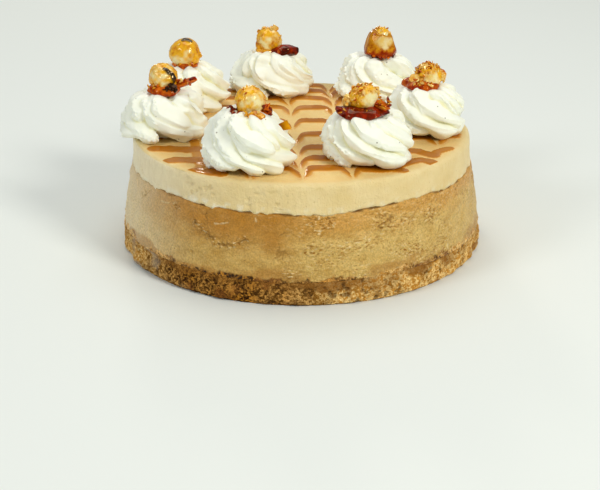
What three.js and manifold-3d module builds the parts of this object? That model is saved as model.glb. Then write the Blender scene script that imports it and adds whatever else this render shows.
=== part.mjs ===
// A whole round cheesecake: a biscuit crust, a baked layer and a mousse layer, with caramel lines
// feathered across the top and a ring of piped cream rosettes that each carry a candied hazelnut.
// Millimetres, +Z up. The origin is the centre of the crust's foot, and the front faces -Y.
import * as THREE from 'three';
import { mergeVertices } from 'three/addons/utils/BufferGeometryUtils.js';
import Module from 'manifold-3d';

const wasm = await Module();
wasm.setup();

// The three layers, from the foot up. Each is turned to its radii and set between two seams.
// Swing is how far a layer's upper seam strays from its level, and crag how rough the side is.
const cake = { topLevel: 62.5, seamGap: 0.1, seamWave: 75, cragWave: 11 };
const crust = {
  footRadius: 98.4,
  sideRadius: 99.6,
  topRadius: 99.2,
  topLevel: 13,
  swing: 0.7,
  crag: 1.1,
  rows: 6,
  sides: 96,
};
const baked = {
  lowRadius: 98.2,
  midRadius: 96.6,
  highRadius: 94.8,
  topRadius: 93.4,
  topLevel: 48,
  swing: 1.1,
  crag: 0.35,
  sides: 72,
};
const mousse = { footRadius: 92.9, midRadius: 92.7, topRadius: 92.2, edgeRound: 2.4, crag: 0.2, sides: 72 };

// Caramel lines lie left to right, at these places from back to front. A point drawn through them along
// each column, which leans a little, pulls them forward and parts them into crescents.
const caramel = {
  rows: [84, 72, 56, 38, 13, -11, -34, -51, -67],
  firstColumn: -106.6,
  columnPitch: 25.5,
  columnLean: -0.06,
  cells: 8,
  width: 9,
  tipWidth: 2.2,
  tipShare: 0.84,
  pull: 19,
  height: 0.7,
  sunk: 0.5,
  steps: 6,
  edgeMargin: 4,
  rosetteShare: 1.05,
  trimSides: 24,
};

// A rosette's side, as shares of its radius and height, from the foot out over the lobes to the peak.
// Its ridges are this share of the radius deep, and turn by the twist, in radians, from peak to foot.
const swirl = {
  side: [
    [0.9, 0], [0.98, 0.06], [1, 0.16], [0.97, 0.34],
    [0.86, 0.54], [0.7, 0.77], [0.58, 0.88], [0.38, 0.97],
  ],
  ridgeDepth: 0.2,
  ridgeRound: 0.7,
  valleySag: 0.6,
  meanRidge: 0.75,
  stepsPerLobe: 4,
  twist: 1.75,
  lobeSpread: 0.06,
  fit: 0.3,
};

// Rosettes in the ring: centre, radius, height, number of lobes, the angle where the first lobe starts and
// how far the peak leans to the right. Each carries a nut, the set caramel collar under it and flakes of
// caramel: their centre from the rosette's foot, their [length, depth, height], the share of a collar's
// width that is left near its top, and how far a flake tilts up to the right.
const ring = [
  {
    x: -26.3, y: -59, radius: 24.5, height: 30, lobes: 9, start: 0.35, lean: -2,
    nut: { at: [0.5, 0, 33.3], size: [15.7, 15, 14.6] },
    collar: { at: [0.5, -1, 27.2], size: [19, 18, 5], top: 0.8 },
    flakes: [
      { at: [-8.6, -0.5, 29.8], size: [4.5, 4, 5], tilt: 0.3 },
      { at: [10, 0, 29.6], size: [5.5, 4.5, 6], tilt: 0.6 },
      { at: [3.4, -8, 26.8], size: [9, 4, 6], tilt: 0.3 },
    ],
  },
  {
    x: 34.5, y: -47, radius: 25, height: 27.5, lobes: 8, start: 0.1, lean: 0,
    nut: { at: [-2.3, 0, 31.2], size: [15.2, 15, 14.4] },
    collar: { at: [-3, -2.5, 25.2], size: [25, 24, 6.6], top: 0.72 },
    flakes: [
      { at: [-13.6, -2, 26], size: [8, 6, 4], tilt: -0.1 },
      { at: [7.2, -1, 29.4], size: [6, 8, 9], tilt: -0.5 },
      { at: [-10.6, -1, 30.6], size: [5.5, 4, 6], tilt: 0.4 },
    ],
  },
  {
    x: -74.5, y: -7.5, radius: 24.5, height: 26.5, lobes: 9, start: 0.6, lean: 1.5,
    nut: { at: [-0.3, 0, 30.8], size: [16, 15.4, 15.2] },
    collar: { at: [0.2, -2.5, 25.4], size: [17, 17.5, 6], top: 0.8 },
    flakes: [
      { at: [10.4, -1.5, 28], size: [17, 6, 3.8], tilt: 0.33 },
      { at: [5, -6, 27], size: [8, 4, 5], tilt: 0.4 },
      { at: [9.6, -1, 31.4], size: [6, 4, 4.5], tilt: 0.7 },
    ],
  },
  {
    x: -65, y: 42.5, radius: 24, height: 26.5, lobes: 8, start: 0.25, lean: 0,
    nut: { at: [-1.4, 0, 31.2], size: [18, 17.4, 17] },
    collar: { at: [-1, -0.5, 24.8], size: [16, 15, 5], top: 0.85 },
    flakes: [{ at: [6.6, -2, 30.4], size: [5, 4, 4], tilt: 0.5 }],
  },
  {
    x: -17, y: 74, radius: 24, height: 27, lobes: 9, start: 0.5, lean: 0.5,
    nut: { at: [-2, 0, 30.4], size: [15.2, 15, 15.6] },
    collar: { at: [-3.4, -0.6, 25.2], size: [14, 13, 5], top: 0.85 },
    flakes: [
      { at: [5.6, -6, 24.8], size: [16, 9, 8], tilt: 0.2 },
      { at: [1.2, 0, 38.4], size: [4.6, 4, 4.6], tilt: 0.2 },
      { at: [-7.8, -1, 29], size: [5, 5, 9], tilt: 0.1 },
    ],
  },
  {
    x: 45.5, y: 63, radius: 24.5, height: 28, lobes: 8, start: 0.75, lean: 0,
    nut: { at: [0.7, 0, 33.4], size: [13.6, 14, 15.4] },
    collar: { at: [0.3, 0, 32.4], size: [20, 18, 15], top: 0.56 },
    flakes: [{ at: [7, -1, 26.4], size: [6, 5, 3.6], tilt: -0.3 }],
  },
  {
    x: 67.5, y: -1, radius: 22.5, height: 28.5, lobes: 8, start: 0.4, lean: 0.5,
    nut: { at: [1.8, 1, 29.4], size: [14.8, 14.8, 14.2] },
    collar: { at: [-2.6, -1.5, 26], size: [20, 20, 6.6], top: 0.75 },
    flakes: [
      { at: [-6.4, -2, 28.6], size: [9, 8, 7], tilt: 0.5 },
      { at: [8.6, -0.5, 29.8], size: [6, 5, 5], tilt: 0.6 },
      { at: [0.6, 0, 35.4], size: [9, 7, 3.4], tilt: 0.1 },
    ],
  },
];

// A thin caramel splinter in the right flank of the first rosette, with its left end sunk in the cream.
// Corners run round the plate, and inner is the shortest way from its middle to an edge.
const splinter = {
  at: [17.5, -3, 20.4],
  corners: [[-7.5, -2.4], [-3.2, -1.9], [3.7, -1], [1.6, 3.8], [-7.5, -0.6]],
  inner: 1.47,
  thickness: 1.4,
  lean: -0.25,
};

// How finely each form of a candied nut is cut, and how uneven it is, as a share of its size.
const candy = {
  nut: { sides: 10, rows: 7, uneven: 0.04 },
  collar: { sides: 12, uneven: 0.08 },
  flake: { sides: 6, rows: 4, uneven: 0.16 },
  lumpWave: 1.1,
};

const finish = {
  crust: { color: 0x9c6a35, roughness: 0.9 },
  baked: { color: 0xbf9557, roughness: 0.7 },
  mousse: { color: 0xe3cf9c, roughness: 0.55 },
  cream: { color: 0xf6f5e8, roughness: 0.6 },
  candy: { color: 0xc27a26, roughness: 0.2 },
  splinter: { color: 0xb2520f, roughness: 0.15 },
};

// A repeatable stream of numbers from 0 to 1.
function seededRandom(seed) {
  let state = seed >>> 0;
  return () => {
    state = (Math.imul(state, 1664525) + 1013904223) >>> 0;
    return state / 4294967296;
  };
}

// An uneven field in space, from about -1 to 1, made of seeded waves of one length.
function unevenField(seed, waveLength) {
  const random = seededRandom(seed);
  const pace = (2 * Math.PI) / waveLength;
  const waves = Array.from({ length: 6 }, () => ({
    direction: new THREE.Vector3(random() - 0.5, random() - 0.5, random() - 0.5).setLength(pace),
    phase: random() * 2 * Math.PI,
  }));
  return (point) => {
    const sines = waves.map(({ direction, phase }) => Math.sin(direction.dot(point) + phase));
    return (2 * sines.reduce((total, sine) => total + sine)) / waves.length;
  };
}

// Moves every vertex of a geometry by a function that changes the point it is given.
function moveVertices(geometry, move) {
  const place = geometry.attributes.position;
  const point = new THREE.Vector3();
  for (let i = 0; i < place.count; i += 1) {
    point.fromBufferAttribute(place, i);
    move(point, i);
    place.setXYZ(i, point.x, point.y, point.z);
  }
  return geometry;
}

// A closed geometry as a solid: shared vertices merged, and the flat triangles at poles left out.
function toSolid(geometry) {
  const bare = geometry.clone();
  bare.deleteAttribute('normal');
  bare.deleteAttribute('uv');
  const merged = mergeVertices(bare);
  const corners = Array.from(merged.index.array);
  const kept = [];
  for (let i = 0; i < corners.length; i += 3) {
    const [a, b, c] = corners.slice(i, i + 3);
    if (a !== b && b !== c && c !== a) kept.push(a, b, c);
  }
  return new wasm.Manifold(new wasm.Mesh({
    numProp: 3,
    vertProperties: Float32Array.from(merged.attributes.position.array),
    triVerts: Uint32Array.from(kept),
  }));
}

// A solid as a mesh with its own finish. A scrap that a cut leaves loose is dropped.
function toMesh(name, solid, look) {
  const largest = solid.decompose().reduce((a, b) => (b.volume() > a.volume() ? b : a));
  const { vertProperties, triVerts } = largest.getMesh();
  const geometry = new THREE.BufferGeometry();
  geometry.setAttribute('position', new THREE.BufferAttribute(Float32Array.from(vertProperties), 3));
  geometry.setIndex(Array.from(triVerts));
  geometry.computeVertexNormals();
  const mesh = new THREE.Mesh(geometry, new THREE.MeshStandardMaterial({ ...look, metalness: 0 }));
  mesh.name = name;
  return mesh;
}

// A profile of [radius, level] points turned about +Z.
function turned(profile, sides) {
  const points = profile.map(([radius, level]) => new THREE.Vector2(radius, level));
  return new THREE.LatheGeometry(points, sides).rotateX(Math.PI / 2);
}

// The seam between two layers dips and rises round the side, and is level at the axis.
function seam({ topLevel, topRadius, swing }, seed) {
  const wave = unevenField(seed, cake.seamWave);
  return (point) => {
    const across = Math.hypot(point.x, point.y);
    const onRim = new THREE.Vector3(point.x, point.y, 0).setLength(topRadius);
    return across > 0 ? topLevel + (swing * wave(onRim) * across) / topRadius : topLevel;
  };
}

// A layer is a side profile from 0 to 1 in height, closed to the axis, set between a lower and an upper
// seam. Its side is rough between the two.
function layer(side, { sides, crag }, lower, upper, seed) {
  const crags = unevenField(seed, cake.cragWave);
  const geometry = turned([[0, 0], ...side, [0, 1]], sides);
  return toSolid(moveVertices(geometry, (point) => {
    const onSide = point.z > 0 && point.z < 1;
    point.z = lower(point) + (upper(point) - lower(point)) * point.z;
    if (onSide) {
      const across = Math.hypot(point.x, point.y);
      const out = 1 + (crag * crags(point)) / across;
      point.set(point.x * out, point.y * out, point.z);
    }
  }));
}

// One crescent of caramel between two columns: widest in the middle, drawn forward to a tip at each side.
function crescent(rowLevel, cell) {
  const swell = caramel.width - caramel.tipWidth;
  const outline = (side) => Array.from({ length: caramel.steps + 1 }, (_, i) => {
    const along = (2 * i) / caramel.steps - 1;
    const share = caramel.tipShare * along;
    const across = caramel.tipWidth + swell * Math.sqrt(1 - along ** 2);
    const y = rowLevel - caramel.pull * Math.abs(share) ** 3 + (side * across) / 2;
    const middle = caramel.firstColumn + caramel.columnPitch * (cell + 0.5) + caramel.columnLean * y;
    return new THREE.Vector2(middle + (share * caramel.columnPitch) / 2, y);
  });
  const shape = new THREE.Shape([...outline(-1), ...outline(1).reverse()]);
  const depth = caramel.height + caramel.sunk;
  const band = new THREE.ExtrudeGeometry(shape, { depth, bevelEnabled: false });
  return toSolid(band.translate(0, 0, cake.topLevel - caramel.sunk));
}

// A plain upright disc, used to trim the caramel.
function disc(x, y, radius, sides) {
  const half = caramel.height + caramel.sunk;
  const round = turned([[0, -half], [radius, -half], [radius, half], [0, half]], sides);
  return toSolid(round.translate(x, y, cake.topLevel));
}

// All caramel lines, kept inside the edge of the top and clear of the rosettes' feet.
function feathering() {
  const cells = Array.from({ length: caramel.cells }, (_, cell) => cell);
  const bands = caramel.rows.flatMap((row) => cells.map((cell) => crescent(row, cell)));
  const joined = bands.reduce((sum, band) => sum.add(band));
  const inside = joined.intersect(disc(0, 0, mousse.topRadius - caramel.edgeMargin, mousse.sides));
  const clear = ring.map(({ x, y, radius }) => disc(x, y, radius * caramel.rosetteShare, caramel.trimSides));
  return clear.reduce((left, round) => left.subtract(round), inside);
}

// Piped cream: ridges with sharp valleys that turn outward from the peak, and lobes round the foot.
function rosetteSolid({ radius, height, lobes, start, lean }, seed) {
  const random = seededRandom(seed);
  const reach = Array.from({ length: lobes }, () => 1 + swirl.lobeSpread * (random() - 0.5));
  const profile = [[0, 0], ...swirl.side, [0, 1]].map(([across, up]) => [across * radius, up * height]);
  const rings = profile.length;
  const sides = lobes * swirl.stepsPerLobe;
  const geometry = moveVertices(turned(profile, sides), (point, i) => {
    const up = point.z / height;
    const across = Math.hypot(point.x, point.y);
    const side = Math.floor(i / rings);
    const ridge = Math.sin((Math.PI * (side % swirl.stepsPerLobe)) / swirl.stepsPerLobe) ** swirl.ridgeRound;
    const depth = swirl.ridgeDepth * across * (1 - up ** 3);
    const lobe = Math.floor(side / swirl.stepsPerLobe) % lobes;
    const out = (across + depth * (ridge - swirl.meanRidge)) * reach[lobe];
    const angle = (2 * Math.PI * side) / sides + start + swirl.twist * (1 - up);
    const sag = (1 - ridge) * swirl.ridgeDepth * swirl.valleySag * across * up;
    point.set(out * Math.cos(angle) + lean * up ** 2, out * Math.sin(angle), point.z - sag);
  });
  return toSolid(geometry);
}

// A lump of uneven caramel: a form one unit across, sized, tilted and placed. Swell makes it that much
// larger all round.
function lump(form, { at, size, tilt = 0 }, uneven, seed, swell) {
  const bumps = unevenField(seed, candy.lumpWave);
  const [length, depth, height] = size.map((across) => across + 2 * swell);
  moveVertices(form, (point) => {
    point.multiplyScalar(1 + uneven * bumps(point));
    point.set(point.x * length, point.y * depth, point.z * height);
  });
  return toSolid(form.rotateY(-tilt).translate(...at));
}

// A nut in its caramel: the coated nut, the collar that set round its foot and the flakes that broke off it.
function candySolid({ nut, collar, flakes }, seed, swell = 0) {
  const ball = ({ sides, rows }) => new THREE.SphereGeometry(0.5, sides, rows).rotateX(Math.PI / 2);
  const puddleSide = [[0, -0.5], [0.45, -0.5], [0.5, -0.25], [collar.top / 2, 0.35], [0, 0.5]];
  const coated = lump(ball(candy.nut), nut, candy.nut.uneven, seed, swell);
  const puddle = lump(turned(puddleSide, candy.collar.sides), collar, candy.collar.uneven, seed + 1, swell);
  return flakes.reduce((sum, flake, i) => {
    const chip = lump(ball(candy.flake), flake, candy.flake.uneven, seed + 2 + i, swell);
    return sum.add(chip);
  }, coated.add(puddle));
}

// The splinter: a thin pointed plate that stands upright and leans back.
function splinterSolid(swell = 0) {
  const grow = 1 + swell / splinter.inner;
  const shape = new THREE.Shape(splinter.corners.map(([x, y]) => new THREE.Vector2(x * grow, y * grow)));
  const depth = splinter.thickness + 2 * swell;
  const plate = new THREE.ExtrudeGeometry(shape, { depth, bevelEnabled: false }).translate(0, 0, -depth / 2);
  plate.rotateX(Math.PI / 2 + splinter.lean);
  return toSolid(plate.translate(...splinter.at));
}

// The layers, one on another. Each side runs from its lower seam to its upper one.
const level = (height) => () => height;
const lifted = (lower) => (point) => lower(point) + cake.seamGap;
const crustSeam = seam(crust, 3);
const bakedSeam = seam(baked, 9);
const rowShares = Array.from({ length: crust.rows }, (_, i) => (i + 1) / (crust.rows + 1));
const crustRows = rowShares.map((share) => [crust.sideRadius, share]);
const crustSide = [[crust.footRadius, 0], ...crustRows, [crust.topRadius, 1]];
const bakedSide = [
  [crust.topRadius, 0],
  [baked.lowRadius, 0.22],
  [baked.midRadius, 0.5],
  [baked.highRadius, 0.78],
  [baked.topRadius, 1],
];
const edge = mousse.edgeRound / (cake.topLevel - baked.topLevel);
const mousseSide = [
  [mousse.footRadius, 0],
  [mousse.midRadius, 0.4],
  [mousse.topRadius, 1 - edge],
  [mousse.topRadius - 0.3 * mousse.edgeRound, 1 - 0.3 * edge],
  [mousse.topRadius - mousse.edgeRound, 1],
];
const crustSolid = layer(crustSide, crust, level(0), crustSeam, 11);
const bakedSolid = layer(bakedSide, baked, lifted(crustSeam), bakedSeam, 12);
const mousseSolid = layer(mousseSide, mousse, lifted(bakedSeam), level(cake.topLevel), 13).add(feathering());

const cheesecake = new THREE.Group();
cheesecake.add(toMesh('crust', crustSolid, finish.crust));
cheesecake.add(toMesh('baked_layer', bakedSolid, finish.baked));
cheesecake.add(toMesh('mousse', mousseSolid, finish.mousse));

// The ring of rosettes, each hollowed to seat its nut, with the splinter in the first.
ring.forEach((place, i) => {
  const spot = new THREE.Group();
  spot.position.set(place.x, place.y, cake.topLevel);
  const seed = 40 + 10 * i;
  let cream = rosetteSolid(place, seed).subtract(candySolid(place, seed, swirl.fit));
  if (i === 0) {
    cream = cream.subtract(splinterSolid(swirl.fit));
    spot.add(toMesh('caramel_splinter', splinterSolid(), finish.splinter));
  }
  spot.add(toMesh(`rosette_${i + 1}`, cream, finish.cream));
  spot.add(toMesh(`hazelnut_${i + 1}`, candySolid(place, seed), finish.candy));
  cheesecake.add(spot);
});

export default cheesecake;
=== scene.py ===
import math

import bpy
import numpy as np
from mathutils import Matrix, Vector


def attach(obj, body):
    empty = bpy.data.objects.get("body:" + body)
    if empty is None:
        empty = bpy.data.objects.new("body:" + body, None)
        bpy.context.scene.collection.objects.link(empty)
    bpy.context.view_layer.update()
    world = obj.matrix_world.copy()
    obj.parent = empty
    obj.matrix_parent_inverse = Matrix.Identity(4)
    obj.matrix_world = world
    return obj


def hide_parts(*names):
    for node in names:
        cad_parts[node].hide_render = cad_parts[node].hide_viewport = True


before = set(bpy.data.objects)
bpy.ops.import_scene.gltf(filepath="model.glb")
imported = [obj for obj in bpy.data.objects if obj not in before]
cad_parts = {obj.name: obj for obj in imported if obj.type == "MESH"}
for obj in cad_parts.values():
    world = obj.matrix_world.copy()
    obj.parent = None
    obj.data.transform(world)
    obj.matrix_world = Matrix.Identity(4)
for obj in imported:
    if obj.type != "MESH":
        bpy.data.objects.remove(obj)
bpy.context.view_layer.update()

# A whole cheesecake. All sizes are in millimetres, and meshes are written in metres.
mm = 0.001


# small helpers for meshes
def deselectAll():
    bpy.ops.object.select_all(action="DESELECT")


def editAll():
    bpy.ops.object.mode_set(mode="EDIT")
    bpy.ops.mesh.select_all(action="SELECT")


def leaveEdit():
    bpy.ops.object.mode_set(mode="OBJECT")


def readPoints(piece):
    flat = np.empty(len(piece.data.vertices) * 3, np.float32)
    piece.data.vertices.foreach_get("co", flat)
    return flat.reshape(-1, 3).astype(float) / mm


def writePoints(piece, points):
    piece.data.vertices.foreach_set("co", (points * mm).astype(np.float32).ravel())
    piece.data.update()


def paint(piece, name, values):  # one number at each vertex, which a material reads
    layer = piece.data.attributes.new(name, "FLOAT", "POINT")
    layer.data.foreach_set("value", np.asarray(values, np.float32))


def joinParts(parts, name):
    deselectAll()
    for part in parts:
        part.select_set(True)
    bpy.context.view_layer.objects.active = parts[0]
    bpy.ops.object.join()
    piece = bpy.context.object
    piece.name = name
    return piece


def smoothStep(low, high, value):
    share = np.clip((value - low) / (high - low), 0, 1)
    return share * share * (3 - 2 * share)


def softNoise(points, size, seed):  # smooth lumps from -1 to 1, one for each size in mm
    spot = points / size + seed * 17.31
    cell = np.floor(spot).astype(np.int64)
    inside = spot - cell
    ease = inside ** 3 * (inside * (inside * 6 - 15) + 10)
    total = np.zeros(len(points))
    for corner in range(8):
        step = np.array([corner & 1, corner >> 1 & 1, corner >> 2 & 1])
        weight = np.prod(np.where(step == 1, ease, 1 - ease), axis=1)
        total += weight * latticeValue(cell + step, seed)
    return total


def latticeValue(cell, seed):  # a fixed value from -1 to 1 for each whole-number cell
    key = (cell * np.array([73856093, 19349663, 83492791])).sum(axis=1) + seed * 974711
    key = (key ^ (key >> 13)) * 1274126177
    key = (key ^ (key >> 16)) & 0xFFFFFF
    return key / 0x7FFFFF - 1


def grainNoise(points, size, seed):  # distance to the nearest grain's centre, and that grain's own value
    spot = points / size
    cell = np.floor(spot).astype(np.int64)
    nearest = np.full(len(points), 9.0)
    value = np.zeros(len(points))
    for corner in range(27):
        step = np.array([corner % 3, corner // 3 % 3, corner // 9]) - 1
        there = cell + step
        jitter = np.column_stack([latticeValue(there, seed + axis) for axis in (1, 2, 3)])
        away = np.linalg.norm(there + 0.5 + 0.42 * jitter - spot, axis=1)
        closer = away < nearest
        nearest = np.where(closer, away, nearest)
        value = np.where(closer, latticeValue(there, seed + 4), value)
    return nearest, value


def seededDraws(seed, count):  # the stream of numbers from 0 to 1 that the solids use
    draws = []
    for _ in range(count):
        seed = (seed * 1664525 + 1013904223) % 4294967296
        draws.append(seed / 4294967296)
    return np.array(draws)


def unevenField(seed, waveLength):  # the uneven field of the solids, from the same seed
    draws = seededDraws(seed, 24).reshape(6, 4)
    direction = draws[:, :3] - 0.5
    direction *= 2 * math.pi / waveLength / np.linalg.norm(direction, axis=1, keepdims=True)
    phase = draws[:, 3] * 2 * math.pi
    return lambda points: np.sin(points @ direction.T + phase).sum(axis=1) / 3


def ringWaves(angle, seed):  # slow unevenness round a piece, from -1 to 1
    draws = seededDraws(seed, 3) * 2 * math.pi
    return (np.sin(angle + draws[0]) + np.sin(2 * angle + draws[1]) + np.sin(3 * angle + draws[2])) / 2


def unitRows(rows):
    return rows / np.linalg.norm(rows, axis=1, keepdims=True)


def relax(values, rounds):  # rounds off the corners of a line whose ends stay
    for _ in range(rounds):
        values[1:-1] = 0.25 * values[:-2] + 0.5 * values[1:-1] + 0.25 * values[2:]
    return values


def roundPoints(angle, out, up):
    return np.column_stack([out * np.cos(angle), out * np.sin(angle), up])


def leftToRight(angle, curve):  # a curve across the cake, from -1 at its left to 1 at its right
    return np.interp(np.cos(angle), *curve)


def turnedPiece(name, rings, sides):
    # a closed round form: a grid rolled up into a ball, whose rows then go to the rings of a profile
    rows = len(rings) - 1
    deselectAll()
    bpy.ops.mesh.primitive_grid_add(x_subdivisions=sides, y_subdivisions=rows, size=2 * mm)
    piece = bpy.context.object
    piece.name = name
    flat = readPoints(piece)
    north = flat[:, 1] * math.pi / 2
    writePoints(piece, roundPoints(flat[:, 0] * math.pi, np.cos(north), np.sin(north)))
    editAll()
    bpy.ops.mesh.remove_doubles(threshold=mm * 1e-4)  # closes the seam and both poles
    leaveEdit()
    bpy.ops.object.shade_smooth()
    ball = readPoints(piece)
    row = np.rint((np.arcsin(np.clip(ball[:, 2], -1, 1)) / math.pi + 0.5) * rows).astype(int)
    angle = np.arctan2(ball[:, 1], ball[:, 0])
    radius, share = np.array(rings, float)[row].T
    return piece, angle, radius, share


# small helpers for materials
def linear(code):  # an sRGB hex value as linear light
    parts = [int(code[i:i + 2], 16) / 255 for i in (1, 3, 5)]
    return [p / 12.92 if p <= 0.04045 else ((p + 0.055) / 1.055) ** 2.4 for p in parts] + [1]


def addNode(tree, kind, settings, output=0):
    # A socket as value is linked, a hex value becomes linear light, and a pattern's size is in mm.
    # Number keys are inputs in order: value, from, from, to, to of Map Range, and colours 6 and 7 of Mix.
    node = tree.nodes.new("ShaderNode" + kind)
    for key, value in settings.items():
        if isinstance(value, bpy.types.NodeSocket):
            tree.links.new(value, node.inputs[key])
        elif key == "size":
            node.inputs["Scale"].default_value = 1 / (value * mm)
        elif isinstance(key, str) and hasattr(node, key):
            setattr(node, key, value)
        else:
            node.inputs[key].default_value = linear(value) if isinstance(value, str) else value
    return node.outputs[output] if node.outputs else None


def newMaterial(name, *painted):  # gives the place on the piece too, and the values painted on it
    material = bpy.data.materials.new(name)
    material.use_nodes = True
    tree = material.node_tree
    tree.nodes.clear()
    spot = addNode(tree, "TexCoord", {}, "Object")
    values = [addNode(tree, "Attribute", {"attribute_name": layer}, "Fac") for layer in painted]
    return material, tree, spot, *values


def layerColors(tree, color, *covers):  # each cover lies over what is under it, by its shares multiplied
    for share, *others, cover in covers:
        for other in others:
            share = addNode(tree, "Math", {"operation": "MULTIPLY", 0: share, 1: other})
        color = addNode(tree, "Mix", {"data_type": "RGBA", 0: share, 6: color, 7: cover}, 2)
    return color


def giveSurface(tree, settings):
    shader = addNode(tree, "BsdfPrincipled", settings)
    addNode(tree, "OutputMaterial", {"Surface": shader})


# camera, fitted to the rims and layer lines in the photograph
cameraFit = {"place": (-0.7, -758.6, 306.7), "pitchDown": 22.49, "lens": 86.28, "sensor": 36}
deselectAll()
bpy.ops.object.camera_add(
    location=[v * mm for v in cameraFit["place"]],
    rotation=(math.radians(90 - cameraFit["pitchDown"]), 0, 0),
)
camera = bpy.context.object
camera.data.lens = cameraFit["lens"]
camera.data.sensor_width = cameraFit["sensor"]
bpy.context.scene.camera = camera

# pale floor and soft daylight, in metres
studio = {"floor": "#E6E9E3", "floorSize": 12, "world": "#F2F6F4", "worldStrength": 0.36, "aim": (0, 0, 0.05)}
deselectAll()
bpy.ops.mesh.primitive_plane_add(size=studio["floorSize"], location=(0, 0, 0))
floor = bpy.context.object
floor.name = "studioFloor"
floorPaint, floorTree, _ = newMaterial("mattPaleFloor")
giveSurface(floorTree, {"Base Color": studio["floor"], "Roughness": 0.85})
floor.data.materials.append(floorPaint)

world = bpy.data.worlds.new("softDaylight")
world.use_nodes = True
sky = world.node_tree.nodes["Background"]
sky.inputs["Color"].default_value = linear(studio["world"])
sky.inputs["Strength"].default_value = studio["worldStrength"]
bpy.context.scene.world = world
bpy.context.scene.view_settings.view_transform = "Standard"

lights = [
    {"name": "windowRight", "place": (0.85, -0.85, 0.95), "size": 0.38, "power": 11.4, "tint": "#FFFEF8"},
    {"name": "windowLeft", "place": (-1.0, -0.7, 0.9), "size": 0.42, "power": 5, "tint": "#F6FAFF"},
    {"name": "windowBehind", "place": (-0.3, 1.5, 0.75), "size": 0.26, "power": 3, "tint": "#FFF8EA"},
    {"name": "skyAbove", "place": (0.0, 0.5, 1.3), "size": 1.0, "power": 6.4, "tint": "#FBFDFF"},
]
for light in lights:
    toCake = Vector(studio["aim"]) - Vector(light["place"])
    turn = toCake.to_track_quat("-Z", "Y").to_euler()
    bpy.ops.object.light_add(type="AREA", location=light["place"], rotation=turn)
    lamp = bpy.context.object
    lamp.name = light["name"]
    lamp.data.size = light["size"]
    lamp.data.energy = light["power"]
    lamp.data.color = linear(light["tint"])[:3]
print("cheesecake: camera, floor and lights set")

# the three layers share these seams with the solids
cake = {
    "top": 62.5,
    "crustTop": 13,
    "bakedTop": 48,
    "crustRim": 99.2,
    "bakedRim": 93.4,
    "crustSwing": (0.7, 3),  # how far a seam rises and falls, and its seed
    "bakedSwing": (1.1, 9),
    "seamWave": 75,
    "gap": 0.1,
}


def seamLevel(x, y, level, rim, swing, seed):
    across = np.hypot(x, y)
    onRim = np.column_stack([x, y, np.zeros_like(x)]) * (rim / np.maximum(across, 1e-6))[:, None]
    return level + swing * unevenField(seed, cake["seamWave"])(onRim) * across / rim


def crustSeam(x, y):
    return seamLevel(x, y, cake["crustTop"], cake["crustRim"], *cake["crustSwing"])


def bakedSeam(x, y):
    return seamLevel(x, y, cake["bakedTop"], cake["bakedRim"], *cake["bakedSwing"])


def layerRings(form):
    # rings of [radius, share of the height], from the axis under the layer to the axis on top of it
    shares = np.linspace(0, 1, form["rows"])
    under = [(r, 0) for r in form["caps"]]
    over = [(r, 1) for r in reversed(form["caps"])]
    return under + list(zip(np.interp(shares, *form["side"]), shares)) + over


def standLayer(angle, radius, share, lower, upper):
    points = roundPoints(angle, radius, share)
    low = lower(points[:, 0], points[:, 1])
    points[:, 2] = low + (upper(points[:, 0], points[:, 1]) - low) * share
    return points


def pushOut(points, angle, amount):
    return points + roundPoints(angle, amount, 0 * amount)


# biscuit crust: crumbs pressed with butter, so rough grains, dark pits and a golden face
crustForm = {
    "side": ([0, 0.06, 0.16, 0.7, 0.9, 1], [98.0, 98.9, 99.4, 99.3, 99.0, 98.9]),  # radius by share of height
    "rows": 44,
    "sides": 1600,
    "caps": [0, 45, 80, 95],  # rings of the hidden faces
    "sideFrom": 96,
    "crag": (0.9, 11, 11),  # depth, wave and seed of the solid's own unevenness
    "grains": ((2.2, 0.65, 21), (1.1, 0.42, 22)),  # size, height and seed
    "pits": (2.4, 0.6, 23),
    # across the cake: how golden the crumb is, and how moist its upper edge
    "toast": ([-1, -0.8, -0.6, -0.45, -0.25, -0.1, 0.05, 0.2, 0.45, 1],
              [1, 0.65, 0.2, 0, 0.05, 0.2, 0.5, 0.98, 1.15, 1]),
    "moist": ([-1, -0.8, -0.55, -0.35, -0.1, 0.1, 0.3, 0.42, 0.58, 0.75, 0.84, 1],
              [0.1, 0.5, 0.8, 0.3, 0.4, 1, 0.95, 0.4, 1, 1, 0.3, 0.3]),
}


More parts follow.
